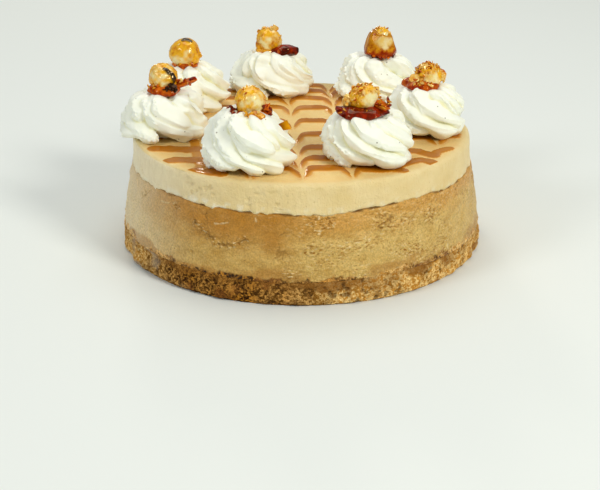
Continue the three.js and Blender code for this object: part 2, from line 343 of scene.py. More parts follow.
def makeCrust():
    form = crustForm
    piece, angle, radius, share = turnedPiece("biscuitCrust", layerRings(form), form["sides"])
    points = standLayer(angle, radius, share, lambda x, y: 0 * x, crustSeam)
    onSide = (radius > form["sideFrom"]).astype(float)
    inner = onSide * smoothStep(0, 0.1, share) * (1 - smoothStep(0.72, 0.97, share))
    depth, wave, seed = form["crag"]
    amount = depth * unevenField(seed, wave)(points) * inner
    rough = 0
    for size, height, seed in form["grains"]:
        away, tone = grainNoise(points, size, seed)
        rough = rough + height * (0.5 - away) + 0.3 * height * tone
    size, height, seed = form["pits"]
    hollow = softNoise(points * [1, 1, 1.4], size, seed) + 0.5 * softNoise(points, 11, seed + 1)
    shadedPit = smoothStep(0.45, 0.8, hollow)
    amount += (rough - height * shadedPit) * onSide * (0.3 + 0.7 * inner)
    points = pushOut(points, angle, amount)
    points[:, 2] = np.maximum(points[:, 2] + 0.25 * rough * (share > 0.5) * onSide, 0)
    writePoints(piece, points)

    # painted shade in the pits, hollows and at the foot, golden and moist stretches, and a painted greyish
    # sheen of butter at the front left
    footShade = 1 - smoothStep(0.02, 0.07, share)
    footShade *= smoothStep(-0.2, 0.2, softNoise(points, 2.5, seed + 5)) * onSide
    # the pits, the hollows between grains and the foot are darkened as painted shade
    deep = 0.7 * shadedPit + 0.45 * smoothStep(0.15, 0.45, -rough) + footShade
    paint(piece, "shadedPit", 0.8 * np.clip(deep, 0, 1))
    paint(piece, "toast", leftToRight(angle, form["toast"]) + 0.2 * softNoise(points, 14, seed + 4))
    level = share + 0.2 * softNoise(points, 9, seed + 2) + 0.1 * softNoise(points, 3, seed + 3)
    rightSide = smoothStep(-0.1, 0.2, np.cos(angle))
    level += rightSide * (0.1 + 0.3 * softNoise(points, 10, seed + 6))
    paint(piece, "moist", 0.8 * smoothStep(0.62, 0.9, level) * leftToRight(angle, form["moist"]))
    # a painted greyish sheen, where butter on the crumb catches the light at the front left
    sheenPatch = smoothStep(0, 0.5, softNoise(points, 8, seed + 6)) * smoothStep(0.55, 0.8, -np.cos(angle))
    paint(piece, "greasySheen", 0.65 * sheenPatch * smoothStep(-0.2, -0.45, np.sin(angle)))
    return piece


# baked layer: set cheese custard, smooth where the tin's wall held it, with torn pits and short cracks
bakedForm = {
    "side": ([0, 0.22, 0.5, 0.78, 1], [99.0, 98.2, 96.6, 94.8, 93.3]),
    "rows": 84,
    "sides": 1100,
    "caps": [0, 45, 80, 91],
    "sideFrom": 92,
    "crag": (0.35, 11, 12),
    "tearSize": 1.5,
    "tearDepth": 0.5,
    "tearRadius": 97,
    "flatten": (1, 1, 1.7),  # tears and scales are wider than high
    "seed": 31,
    # across the cake: how far crumbs climb up the side, and how browned and how scaly it is
    "climb": ([-1, -0.9, -0.75, -0.5, 0.3, 0.8, 1], [0.16, 0.13, 0.06, 0.05, 0.04, 0.06, 0.12]),
    "brown": ([-1, -0.9, -0.7, -0.45, -0.15, 0.05, 0.25, 1], [0, 0.2, 0.7, 0.95, 1, 0.2, 0, 0]),
    "scaly": ([-1, -0.1, 0.15, 0.8, 1], [0.1, 0.15, 0.9, 0.7, 0.4]),
    # marks at [degrees round, height]: one long crack, torn spots with their size, and pale scrapes
    "crack": [(-124.8, 38.1), (-121.5, 34.5), (-118.1, 31.5), (-117, 29.2), (-114.6, 28.9), (-111.9, 29.6),
              (-106.9, 33.2)],
    "tornSpots": [(-93.3, 17.5, 5), (-83.7, 43.7, 9), (-63.5, 40.2, 8), (-45.8, 37.5, 7), (-86.8, 29.7, 6),
                  (-133, 42.7, 4)],
    "scrapes": [[(-117.6, 39.3), (-115, 39.8), (-113, 40.8)], [(-140.6, 42.3), (-138.6, 42.3), (-136.6, 43)],
                [(-125.4, 36.6), (-124.9, 38.2)], [(-104.1, 44.8), (-103.9, 43.2)]],
}


def nearLine(x, y, line):  # mm to a line of [x, y] points
    nearest = np.full(len(x), 99.0)
    for start, finish in zip(line[:-1], line[1:]):
        way = np.subtract(finish, start)
        walk = np.clip(((x - start[0]) * way[0] + (y - start[1]) * way[1]) / (way @ way), 0, 1)
        nearest = np.minimum(nearest, np.hypot(x - start[0] - walk * way[0], y - start[1] - walk * way[1]))
    return nearest


def nearPath(angle, level, path):  # mm on the unrolled side to a line of [degrees, height]
    radius = bakedForm["side"][1][1]
    return nearLine(angle * radius, level, [(math.radians(turn) * radius, height) for turn, height in path])


def markBaked(points, angle):  # where the side is torn, scaly, cracked and scraped, from 0 to 1
    form = bakedForm
    seed = form["seed"]
    flat = points * form["flatten"]
    patch = smoothStep(0.3, 0.8, softNoise(flat, 13, seed) + 0.5 * softNoise(flat, 5, seed + 5))
    patch *= smoothStep(-0.35, 0.1, np.sin(angle) + 0.3 * softNoise(points, 30, seed + 15))
    for degrees, level, across in form["tornSpots"]:
        sideways = (angle - math.radians(degrees)) * form["tearRadius"]
        away = np.hypot(sideways, 1.4 * (points[:, 2] - level))
        patch = np.maximum(patch, 1 - smoothStep(0.5 * across, 1.1 * across, away))
    wander = 0.7 * softNoise(points, 1.6, seed + 17)
    toCrack = nearPath(angle, points[:, 2], form["crack"]) + wander
    patch = np.maximum(patch, 0.8 - 0.8 * smoothStep(0.8, 2.2, toCrack))
    torn = smoothStep(0.2, 0.55, softNoise(flat, form["tearSize"], seed + 1)) * patch
    scaly = leftToRight(angle, form["scaly"]) * (0.6 + 0.8 * softNoise(flat, 12, seed + 16)) + patch
    ridged = 1 - np.abs(softNoise(points * [1, 1, 2.4], 14, seed + 2) + 0.3 * softNoise(points, 3, seed + 6))
    crack = smoothStep(0.95, 0.99, ridged) * smoothStep(0.5, 0.75, softNoise(points, 17, seed + 3))
    crack = np.maximum(crack, 1 - smoothStep(0.1, 0.7, toCrack))
    scrape = np.zeros(len(angle))
    for line in form["scrapes"]:
        near = nearPath(angle, points[:, 2], line) + 0.5 * wander
        scrape = np.maximum(scrape, 1 - smoothStep(0, 0.5, near))
    return torn, np.clip(scaly, 0, 1), crack, scrape


def makeBaked():
    form = bakedForm
    piece, angle, radius, share = turnedPiece("bakedLayer", layerRings(form), form["sides"])
    points = standLayer(angle, radius, share, lambda x, y: crustSeam(x, y) + cake["gap"], bakedSeam)
    onSide = (radius > form["sideFrom"]).astype(float)
    depth, wave, seed = form["crag"]
    held = onSide * smoothStep(0, 0.08, share) * (1 - smoothStep(0.9, 1, share))
    amount = depth * unevenField(seed, wave)(points) * held
    seed = form["seed"]
    torn, scaly, crack, scrape = markBaked(points, angle)
    flat = points * form["flatten"]
    amount -= (form["tearDepth"] * torn + 0.45 * crack) * onSide
    amount += (0.16 * softNoise(points, 4, seed + 4) + 0.1 * softNoise(points, 1.4, seed + 7)) * onSide
    amount += 0.3 * scaly * softNoise(flat, 1.7, seed + 18) * onSide

    # crumbs of the crust stick to the foot, and the upper edge is nibbled
    climb = leftToRight(angle, form["climb"])
    foot = share - climb * (0.5 + softNoise(points, 7, seed + 10)) - 0.035 * softNoise(points, 1.8, seed + 11)
    crumb = (1 - smoothStep(0.0, 0.035, foot)) * onSide
    away, tone = grainNoise(points, 1.6, seed + 12)
    amount += crumb * (0.5 * (0.5 - away) + 0.15 * tone)
    edge = smoothStep(0.955, 1, share) * onSide
    nibble = 0.35 + 0.4 * softNoise(points, 3.5, seed + 8) + 0.3 * softNoise(points, 1.5, seed + 9)
    writePoints(piece, pushOut(points, angle, amount - edge * np.maximum(nibble, 0)))

    # torn patches are darker, and the cracks are darkened as painted shade
    paint(piece, "torn", np.clip(0.8 * torn + 0.7 * crack, 0, 1) * onSide)
    paint(piece, "rise", share)
    # a painted pale sheen on the left side
    paint(piece, "leftSheen", 0.75 * smoothStep(0.5, 0.95, -np.cos(angle)))
    paint(piece, "crumb", crumb)
    damp = smoothStep(-0.1, 0.2, np.cos(angle)) * leftToRight(angle, crustForm["moist"])
    paint(piece, "toast", leftToRight(angle, crustForm["toast"]) - 0.7 * damp)
    paint(piece, "scrape", 0.6 * scrape)
    paint(piece, "scaly", scaly)
    browned = leftToRight(angle, form["brown"]) * (np.sin(angle) < 0)
    browned *= 0.3 + 0.7 * smoothStep(0.3, 0.65, share)
    browned += 0.25 * browned * softNoise(flat, 9, seed + 13)
    paint(piece, "brown", 0.75 * np.clip(browned, 0, 1))
    # painted shade in a broken dark line under the mousse's edge
    shadeNoise = softNoise(points, 18, seed + 14) + 0.5 * softNoise(points, 5, seed + 19)
    paint(piece, "shade", smoothStep(0.975, 0.99, share) * smoothStep(0, 0.5, shadeNoise))
    return piece


# mousse: whipped filling set in a ring, with caramel lines that a point drew into feathers
mousseForm = {
    "side": ([0, 0.06, 0.4, 1], [92.2, 92.8, 92.7, 92.2]),
    "rows": 22,
    "sides": 680,
    "caps": [0, 45, 80, 90],
    "sideFrom": 91,
    "edgeRound": 2.4,
    "topRings": 112,
    "crag": (0.2, 11, 13),
}
feathers = {
    "rows": (84, 72, 56, 38, 13, -11, -34, -51, -67),
    "firstColumn": -106.6,
    "pitch": 25.5,
    "lean": -0.06,
    "pull": 20,
    "columnShift": (0, -3, 0, 0, 0, 0, -5, -5, 0),
    "width": 9.5,
    "height": 0.55,
    "edge": 88,
}
# caramel that ran together at both ends of the top: lines of [x, y], width and how thick it lies
runs = [
    ([(-76.4, -36), (-68.4, -37), (-60.9, -37.3), (-55.1, -37.7)], 10.6, 1),
    ([(-66.4, -55.2), (-64.8, -54.7), (-58.6, -54.7), (-52.9, -55.4)], 10.4, 1),
    ([(-57.7, -22.6), (-55.6, -37.7), (-53.7, -50.6), (-51.5, -64.7)], 6, 0.62),
    ([(-53, -71), (-49.2, -72.6), (-41.5, -75)], 10, 1),
    ([(55.2, -39.3), (61.4, -40.3), (65.8, -44.2), (68.7, -47.4)], 8, 1),
    ([(68.8, -46.6), (72.5, -40.1), (77.6, -36)], 6.6, 0.9),
    ([(49.4, -64.7), (53.2, -60), (58.2, -55.4), (62.4, -54.4), (66.4, -56.3), (68.4, -59.4)], 7.4, 1),
    ([(32.8, -69.9), (39.8, -70.8), (46, -69.3), (51, -70.6)], 7, 1),
]


def featherShare(x, y):  # how much caramel lies at each spot of the top, from 0 to 1
    form = feathers
    wander = np.column_stack([x, y, 0 * x])
    column = (x - form["lean"] * y - form["firstColumn"]) / form["pitch"] + 0.05 * softNoise(wander, 16, 41)
    cell = np.floor(column)
    across = np.abs(2 * (column - cell) - 1)
    shift = np.array(form["columnShift"])[np.clip(cell, 0, 8).astype(int)]
    lines = np.zeros_like(x)
    for number, row in enumerate(form["rows"]):
        spot = np.column_stack([cell * 3.7, 0 * x + number * 5.3, 0 * x])
        offset = 1.3 * softNoise(spot, 1.0, 42)
        back = row + shift + 0.5 * form["width"] + offset - form["pull"] * across ** 5
        thick = form["width"] * (1 - 0.25 * across ** 2) * (1 + 0.18 * softNoise(wander, 11, 43 + number))
        depth = (back - y) / thick
        band = smoothStep(-0.04, 0.04, depth) * (1 - smoothStep(0.72, 1.02, depth))
        ends = 1 - smoothStep(0.86, 1, across)
        tail = smoothStep(0, 0.4, depth) * (1 - smoothStep(0.6, 2.1, depth))
        sides = smoothStep(0.45, 0.72, across) * (1 - smoothStep(0.8, 1, across))
        lines = np.maximum(lines, np.maximum(band * ends, 0.65 * tail * sides))
    lines *= 1 - smoothStep(form["edge"] - 2, form["edge"] + 1, np.hypot(x, y))
    leftEnd = smoothStep(-46, -50, x) * smoothStep(-20, -26, y)
    rightEnd = smoothStep(50, 54, x) * smoothStep(-28, -34, y)
    lines *= 1 - np.maximum(leftEnd, rightEnd)
    ragged = 0.08 * softNoise(wander, 5, 61) + 0.04 * softNoise(wander, 2, 62)
    for line, width, thickness in runs:
        near = nearLine(x, y, line) / width + ragged
        lines = np.maximum(lines, thickness * (1 - smoothStep(0.4, 0.52, near)))
    return lines


def mousseRings():
    form = mousseForm
    height = cake["top"] - cake["bakedTop"]
    shares = np.linspace(0, 1 - form["edgeRound"] / height, form["rows"])
    corner = []
    for turn in np.linspace(0.12, 1, 9) * math.pi / 2:
        out = form["side"][1][-1] - form["edgeRound"] * (1 - math.cos(turn))
        corner.append((out, 1 - form["edgeRound"] / height * (1 - math.sin(turn))))
    under = [(r, 0) for r in form["caps"]]
    top = [(r, 1) for r in np.linspace(corner[-1][0], 0, form["topRings"])[1:]]
    return under + list(zip(np.interp(shares, *form["side"]), shares)) + corner + top


def makeMousse():
    form = mousseForm
    piece, angle, radius, share = turnedPiece("mousseLayer", mousseRings(), form["sides"])
    points = standLayer(
        angle, radius, share,
        lambda x, y: bakedSeam(x, y) + cake["gap"],
        lambda x, y: 0 * x + cake["top"],
    )
    onSide = ((share > 0) & (share < 0.95)).astype(float)
    depth, wave, seed = form["crag"]
    flat = points * [1, 1, 1.6]
    amount = depth * unevenField(seed, wave)(points) * onSide
    amount += (0.2 * softNoise(flat, 7, 51) + 0.1 * softNoise(points, 2, 55)) * onSide
    dents = smoothStep(0.45, 0.7, softNoise(flat, 2.4, 52)) * smoothStep(0.2, 0.5, softNoise(points, 15, 53))
    amount -= 0.8 * dents * onSide * smoothStep(0.3, -0.1, np.cos(angle))

    # the foot is ragged where it clung to the baked layer
    foot = (1 - smoothStep(0.03, 0.2, share)) * (share > 0)
    ragged = softNoise(points, 8, 56) + 0.8 * softNoise(points, 3, 57) + 0.5 * softNoise(points, 1.2, 58)
    amount += foot * (0.3 + 0.45 * ragged)
    points = pushOut(points, angle, amount)
    points[:, 2] -= foot * (0.8 + 0.9 * ragged) * (radius > form["sideFrom"])

    onTop = (share > 0.995).astype(float)
    caramel = featherShare(points[:, 0], points[:, 1]) * onTop
    swell = 0.12 * softNoise(points, 8, 54) * (radius < feathers["edge"])
    ripple = 0.2 * caramel * softNoise(points, 4.5, 63)
    points[:, 2] += onTop * (feathers["height"] * caramel ** 0.7 + ripple + swell)
    writePoints(piece, points)
    paint(piece, "caramel", caramel)
    flaky = smoothStep(0.1, 0.5, softNoise(points, 3, 59) + 0.5 * softNoise(points, 1.3, 60))
    flaky *= (1 - smoothStep(0.1, 0.3, share)) * onSide
    paint(piece, "flaky", flaky * (0.4 + 0.6 * smoothStep(0, 0.6, -np.cos(angle))))
    # a painted pale sheen on the left side, where the streaks also lie
    paint(piece, "leftSheen", 0.8 * smoothStep(0.3, 1, -np.cos(angle)) * onSide)
    paint(piece, "top", smoothStep(0.95, 1, share) * smoothStep(92, 86, radius))
    return piece


# ring of rosettes, as the solids have them. Places are from each rosette's foot.
# A ridge runs down from the top and ends at the angle in degrees, and the others follow evenly.
# A collar under 1 makes the shoulder lower, and a top leans to the right by lean.
# hollow: its place, width and depth. tongues: more ridges, by angle, how far down, reach and lift.
rosettes = [
    {"x": -26.3, "y": -59, "radius": 24.5, "height": 30, "lobes": 9, "end": -47, "collar": 1, "lean": -2,
     "hollow": ([17, 2, 25], 7, 3), "tongues": [(-6, 0.78, 1.2, 4)]},
    {"x": 34.5, "y": -47, "radius": 25, "height": 27.5, "lobes": 8, "end": -38, "collar": 0.84, "lean": 0,
     "tongues": [(-10, 0.86, 1.18, 3), (-34, 0.94, 1.16, 0)]},
    {"x": -74.5, "y": -7.5, "radius": 24.5, "height": 26.5, "lobes": 9, "end": -60, "collar": 0.88,
     "lean": 1.5},
    {"x": -65, "y": 42.5, "radius": 24, "height": 26.5, "lobes": 8, "end": -30, "collar": 0.95, "lean": 0},
    {"x": -17, "y": 74, "radius": 24, "height": 27, "lobes": 9, "end": -70, "collar": 0.93, "lean": 0.5},
    {"x": 45.5, "y": 63, "radius": 24.5, "height": 28, "lobes": 8, "end": -50, "collar": 0.88, "lean": 0},
    {"x": 67.5, "y": -1, "radius": 22.5, "height": 28.5, "lobes": 8, "end": -55, "collar": 0.88, "lean": 0.5,
     "tongues": [(-8, 0.88, 1.16, 2), (-38, 0.95, 1.14, 0)]},
]
# the middle line of a ridge from the top to the foot: shares of the radius and the height, sizes in mm
swirl = {
    "walk": [0, 0.15, 0.3, 0.45, 0.6, 0.75, 0.9, 1],
    "out": [0.14, 0.3, 0.45, 0.56, 0.65, 0.73, 0.81, 0.88],
    "up": [0.88, 0.88, 0.8, 0.66, 0.5, 0.33, 0.19, 0.11],
    "wide": [3, 4.2, 5, 5.4, 5.4, 5.2, 5, 4.6],
    "thick": [2.6, 3.8, 5, 6, 6.2, 6, 5.2, 4.4],
    "turn": 1.75,  # radians round the rosette, most of them near the foot
    "speedUp": 2.8,
    "tilt": 0.65,
    "frill": (1.5, 1.0),  # sideways and outwards
    "upperEnd": (0.66, 0.95),  # where the ridges of the upper row end
    "lowerStart": 0.3,
    "lowerShift": (0.25, 0.55),
    "lowerSink": 1.6,
    "tongueStart": 0.2,
    "steps": 300,
    "rows": 48,
    "sides": 28,
    "core": ([0, 0.5, 0.6, 0.56, 0.44, 0.24, 0], [0.02, 0.02, 0.2, 0.45, 0.68, 0.82, 0.84]),
    "voxel": 0.45,
    "hang": (92.5, 0.4),  # cream past this radius of the cake hangs down, and how steeply
}


def ridgeLine(place, end, sink, draws, reach, lift):
    # the middle line, with the directions sideways and out of the cream at each of its steps
    fine = np.linspace(0, 1, swirl["steps"])
    out = relax(np.interp(fine, swirl["walk"], swirl["out"]), 200)
    up = relax(np.interp(fine, swirl["walk"], swirl["up"]), 200)
    up *= 1 - (1 - place["collar"]) * (1 - smoothStep(0.15, 0.55, fine))
    longer = 1 + (0.12 * (draws[1] - 0.5) + 2 * (reach - 1)) * fine ** 2
    out = out * place["radius"] * longer - sink * (1 - fine ** 2)
    up = up * place["height"] + 2.4 * (draws[2] - 0.5) * fine ** 3 + lift * fine
    turn = swirl["turn"] + 0.55 * (draws[0] - 0.5)
    heading = math.radians(end) - turn * (1 - fine ** swirl["speedUp"])
    heading += 0.12 * np.sin(5 * fine + 6 * draws[3])
    line = roundPoints(heading, out, up)
    along = unitRows(np.gradient(line, axis=0))
    slope = unitRows(np.column_stack([-np.gradient(up), np.gradient(out)]))
    side = unitRows(np.cross(along, roundPoints(heading, slope[:, 0], slope[:, 1])))
    return line, side, np.cross(side, along)


def makeRidge(place, end, first, last, sink, draws, reach=1, lift=0):
    # one piped ridge: a flattened rope with a frilled lip over its clockwise neighbour and a blunt end
    walk = np.linspace(0, 1, swirl["rows"])
    blunt = np.maximum(walk - 0.85, 0) / 0.15
    fullness = np.sqrt(np.clip(1 - blunt ** 2, 0, 1)) * np.minimum(walk / 0.04, 1)
    piece, angle, full, t = turnedPiece("ridge", list(zip(fullness, walk)), swirl["sides"])
    t = first + (last - first) * t
    line, side, outward = ridgeLine(place, end, sink, draws, reach, lift)
    lastStep = swirl["steps"] - 1
    step = np.clip((t * lastStep).astype(int), 0, lastStep)
    wide = np.interp(t, swirl["walk"], swirl["wide"]) * (0.9 + 0.25 * draws[4])
    thick = np.interp(t, swirl["walk"], swirl["thick"]) * (0.92 + 0.16 * draws[5])
    tilt = swirl["tilt"] * (0.8 + 0.5 * draws[6]) * smoothStep(0.05, 0.35, t)
    off = thick * full * np.sin(angle)
    across = wide * full * np.cos(angle) * (1 - 0.5 * np.maximum(np.sin(angle), 0))
    secondLip = np.exp(-((angle - 2.3) / 0.3) ** 2) * smoothStep(0.2, 0.45, t)
    off += 0.3 * thick * full * secondLip * (0.4 + draws[7])
    flatShare = across * np.cos(tilt) + off * np.sin(tilt)
    outShare = off * np.cos(tilt) - across * np.sin(tilt)
    wave = np.column_stack([8 * t, 0 * t + 40 * draws[3], np.cos(angle)])
    lip = smoothStep(0.15, 0.45, t) * full
    flatShare += swirl["frill"][0] * lip * softNoise(wave, 1, 81)
    outShare += swirl["frill"][1] * lip * softNoise(wave, 1, 82)
    writePoints(piece, line[step] + side[step] * flatShare[:, None] + outward[step] * outShare[:, None])
    return piece


def softenSkin(piece, repeat):
    editAll()
    bpy.ops.mesh.vertices_smooth(factor=0.5, repeat=repeat)
    leaveEdit()
    return readPoints(piece)


def pipeSwirl(number, seed):  # all ridges of one rosette, fused into one skin
    place = rosettes[number]
    draws = np.random.default_rng(seed)
    pitch = 360 / place["lobes"]
    ridges = []
    for lobe in range(place["lobes"]):
        end = place["end"] + pitch * (lobe + 0.35 * (draws.random() - 0.5))
        ridges.append(makeRidge(place, end, 0, draws.uniform(*swirl["upperEnd"]), 0, draws.random(8)))
        end += pitch * draws.uniform(*swirl["lowerShift"])
        ridges.append(makeRidge(place, end, swirl["lowerStart"], 1, swirl["lowerSink"], draws.random(8)))
    for end, last, reach, lift in place.get("tongues", []):
        ridges.append(makeRidge(place, end, swirl["tongueStart"], last, 0, np.full(8, 0.5), reach, lift))
    core, angle, out, up = turnedPiece("core", list(zip(*swirl["core"])), 64)
    writePoints(core, roundPoints(angle, out * place["radius"], up * place["height"]))
    piece = joinParts([core] + ridges, f"creamRosette{number + 1}")
    piece.data.remesh_voxel_size = swirl["voxel"] * mm
    bpy.ops.object.voxel_remesh()
    return piece


def makeRosette(number):
    place = rosettes[number]
    seed = 40 + 10 * number
    piece = pipeSwirl(number, seed)
    points = softenSkin(piece, 3)
    bpy.ops.object.shade_smooth()
    normals = np.empty(len(points) * 3, np.float32)
    piece.data.vertex_normals.foreach_get("vector", normals)
    normals = normals.reshape(-1, 3)

    # a spot outside the much softened skin is a crest, which tears, and one inside it is a fold, which gets
    # painted shade
    bulge = ((points - softenSkin(piece, 40)) * normals).sum(axis=1)
    rise = np.clip(points[:, 2] / place["height"], 0, 1)
    skin = 0.4 * softNoise(points, 7, seed) + 0.14 * softNoise(points, 3, seed + 1)
    crest = smoothStep(0.08, 0.4, bulge)
    leftSide = 0.8 * points[:, 0] / place["radius"]
    torn = crest * smoothStep(0.1, 0.6, softNoise(points, 12, seed + 3) - leftSide)
    skin += (0.12 * crest + 0.9 * torn) * softNoise(points, 1.3, seed + 4)
    points = points + normals * skin[:, None]
    if "hollow" in place:
        middle, across, depth = place["hollow"]
        pressed = depth * (1 - smoothStep(0.2, 1, np.linalg.norm(points - middle, axis=1) / across))
        outFromAxis = np.hypot(points[:, 0], points[:, 1]).clip(1)
        points[:, :2] -= pressed[:, None] * points[:, :2] / outFromAxis[:, None]
    points[:, 0] += place["lean"] * rise ** 2 + place["x"]
    points[:, 1] += place["y"]
    points[:, 2] += cake["top"]
    hangFrom, steepness = swirl["hang"]
    points[:, 2] -= steepness * np.maximum(np.hypot(points[:, 0], points[:, 1]) - hangFrom, 0)
    writePoints(piece, points)
    # painted yellowish shade in the folds
    paint(piece, "foldShade", smoothStep(0.05, 0.6, -bulge))
    return piece


# candied nuts: a nut in sugar on a puddle of set caramel, with the bits that stuck to it.
# Places are [x, y, z] from the rosette's foot and sizes are [length, depth, height].
# skirt: finish, place, size and how wide its top is. bits: finish, place, size and tilt.
# shards: finishes, place, spread, count and largest. sugar: count, lowest level, largest and spread.
# pale: the way that the bare side faces. strips: dark skin from one way to another, and its width.
candies = [
    {
        "nut": ([0.5, 0, 33.3], [15.7, 15, 14.6]),
        "skirt": ("ember", [0.5, 0, 27.2], [19, 17, 5], 0.8),
        "bits": [("dark", [-8.4, -1.5, 29], [4, 4, 4.4], 0.3), ("dark", [9.4, -1.5, 29.2], [5, 4.5, 5], -0.4),
                 ("amber", [3.4, -8.2, 26.9], [11, 5, 7.5], 0.3)],
        "shards": [("dark ember", [-8, -3, 29.2], [2.6, 2.5, 2.6], 14, 3.4),
                   ("dark ember", [9.4, -3, 29.6], [2.6, 2.5, 3], 14, 3.6),
                   ("gold amber", [3.4, -8.6, 28], [6, 1.5, 2.2], 16, 3)],
        "pale": (0.1, -1, 0.1), "sugar": (24, -0.3, 2.2, 0),
    },
    {
        "nut": ([-2.3, 0, 31.2], [15.2, 15, 14.4]),
        "skirt": ("dark", [-3, -2.5, 25.2], [25, 24, 6.6], 0.72),
        "bits": [("dark", [-13.6, -2, 26], [9, 6, 4], -0.1), ("ember", [6.4, -2, 28], [12, 9, 6], -0.7),
                 ("gold", [-10.2, -1.5, 29.8], [7, 5, 8], 0.4), ("amber", [-6, -3, 29], [6, 6, 6], 0.3)],
        "shards": [("amber ember dark", [6.8, -5, 28.6], [4.4, 2.5, 3], 16, 3.4),
                   ("gold", [-10.4, -3, 30.4], [2.8, 2, 3.2], 14, 3.2),
                   ("amber ember", [-3, -8.6, 26.8], [7, 1.5, 1.2], 10, 2.6),
                   ("gold amber ember", [-10, -8, 27], [6, 1.2, 1], 12, 2)],
        "pale": (0.6, -1, -0.1), "sugar": (150, -0.15, 2.6, 0.06),
    },
    {
        "nut": ([-0.3, 0, 30.8], [16, 15.4, 15.2]),
        "skirt": ("ember", [0.2, -2.5, 25.4], [17, 17.5, 6], 0.8),
        "bits": [("ember", [10.4, -1.5, 28], [17, 6, 3.8], 0.33), ("skin", [4.8, -8.4, 27], [8, 4, 4.4], 0.5),
                 ("dark", [16, -1.5, 30.4], [6, 4, 3.4], 0.3)],
        "shards": [("amber ember dark gold", [11.4, -3.5, 29.4], [6, 2, 1.8], 14, 2.8),
                   ("ember amber", [-3.4, -8.2, 27.4], [5, 1.2, 1.6], 9, 2.6),
                   ("skin", [4.8, -9.2, 27.6], [4, 1, 2], 10, 3.4)],
        "pale": (-0.2, -1, 0.3), "sugar": (0, 0, 1, 0),
        "strips": [((0.3, -0.6, 0.8), (0.8, -0.65, 0.2), 0.1),
                   ((0.8, -0.65, 0.2), (0.75, -0.7, -0.35), 0.08)],
    },
    {
        "nut": ([-1.4, 0, 31.2], [18, 17.4, 17]),
        "skirt": ("ember", [-1, -0.5, 24.8], [16, 15, 5], 0.85),
        "bits": [("amber", [6.6, -2, 30.4], [5, 4, 4], 0.5), ("ember", [-2, -5.6, 25.6], [11, 6, 4], 0.1)],
        "shards": [("amber ember", [-2, -7.6, 26.6], [6, 1.5, 1.4], 9, 2.6)],
        "pale": (-0.3, -1, -0.5), "sugar": (6, -0.5, 1.6, 0),
        "strips": [((0, -0.25, 1), (0.4, -0.3, 0.9), 0.1)], "crackle": 0.45,
    },
    {
        "nut": ([-2, 0, 30.4], [15.2, 15, 15.6]),
        "skirt": ("amber", [-3.4, -0.6, 25.2], [14, 13, 5], 0.85),
        "bits": [("dark", [5.6, -6, 24.8], [21, 11, 10.5], 0.2), ("gold", [1.6, 0, 38], [5, 4, 5], 0.3),
                 ("amber", [-7.2, -2, 28.4], [5, 5, 9], 0.1), ("gold", [-5, 0, 38], [4, 2.4, 2.2], 0.5)],
        "shards": [("gold", [0, -1, 38.2], [4.5, 1.5, 1.4], 8, 2.6),
                   ("dark ember", [6, -9.5, 26.2], [6, 1.2, 2], 9, 3.4)],
        "pale": (0.2, -1, 0.1), "sugar": (22, 0.1, 3.2, 0),
    },
    {
        "nut": ([0.7, 0, 33.4], [13.6, 14, 15.4]),
        "skirt": ("cone", [0.3, 0, 32], [19.6, 18, 15.6], 0.5),
        "bits": [("dark", [7, -1, 26.4], [6, 5, 3.6], -0.3), ("gold", [5.6, -2, 37.6], [3, 3, 5], -0.2)],
        "shards": [("ember dark", [2, -8.4, 25.8], [7, 1.2, 1], 10, 2.8),
                   ("amber", [0.3, -1, 39.2], [3, 2, 1], 6, 2.8)],
        "pale": (0.4, -1, 0.3), "sugar": (14, 0.5, 2.8, 0),
    },
    {
        "nut": ([1.8, 1, 29.4], [14.8, 14.8, 14.2]),
        "skirt": ("ember", [-2.6, -1.5, 26], [20, 20, 6.6], 0.75),
        "bits": [("gold", [-6.4, -2, 28.6], [9, 8, 7], 0.5), ("gold", [8.8, -0.5, 29.8], [6, 5, 5], 0.6),
                 ("gold", [0.6, 0, 35.4], [9, 7, 3.4], 0.1)],
        "shards": [("ember amber gold", [-3.6, -8.6, 28], [8, 1.8, 3], 26, 3),
                   ("gold amber", [9.2, -2, 29.6], [2, 2, 2.4], 8, 2.8)],
        "pale": (0.5, -1, -0.2), "sugar": (190, -0.4, 2.8, 0.1),
    },
]
candyFinish = ["nut", "dark", "ember", "amber", "gold", "skin", "cone"]  # order of the material slots
# broken sugar: its mesh detail, its flat cuts, and the ranges of its length, width and thickness
chipForms = {
    "crystal": {"detail": 1, "cuts": (6, 0.2, 0.4), "stretch": ((1, 2), (0.8, 1.3), (0.3, 0.6))},
    "shard": {"detail": 2, "cuts": (8, 0.2, 0.36), "stretch": ((1, 1.8), (0.7, 1.1), (0.4, 0.8))},
}


def placeLump(piece, unit, at, size, tilt, foot, finish):
    # unit points within half a unit of the middle are sized, tilted up to the right and placed
    sized = unit * size
    x = sized[:, 0] * math.cos(tilt) - sized[:, 2] * math.sin(tilt)
    z = sized[:, 0] * math.sin(tilt) + sized[:, 2] * math.cos(tilt)
    writePoints(piece, np.column_stack([x, sized[:, 1], z]) + np.add(at, foot))
    for kind in candyFinish:
        piece.data.materials.append(candyMaterials[kind])
    slots = np.full(len(piece.data.polygons), candyFinish.index(finish), np.int32)
    piece.data.polygons.foreach_set("material_index", slots)
    return piece


def facet(unit, seed, count, inner, outer):  # cut flat faces as broken sugar has
    draws = np.random.default_rng(seed)
    for _ in range(count):
        way = draws.normal(size=3)
        way /= np.linalg.norm(way)
        past = unit @ way - draws.uniform(inner, outer)
        unit = unit - np.maximum(past, 0)[:, None] * way
    return unit


def makeBall(detail):
    deselectAll()
    bpy.ops.mesh.primitive_ico_sphere_add(subdivisions=detail, radius=0.5 * mm)
    return bpy.context.object


def makeChip(kind, draws, seed):
    form = chipForms[kind]
    piece = makeBall(form["detail"])
    stretch = [draws.uniform(*span) for span in form["stretch"]]
    unit = facet(readPoints(piece), seed, *form["cuts"]) * stretch
    turned = np.linalg.qr(draws.normal(size=(3, 3)))[0]
    return piece, unit @ (turned * np.linalg.det(turned))


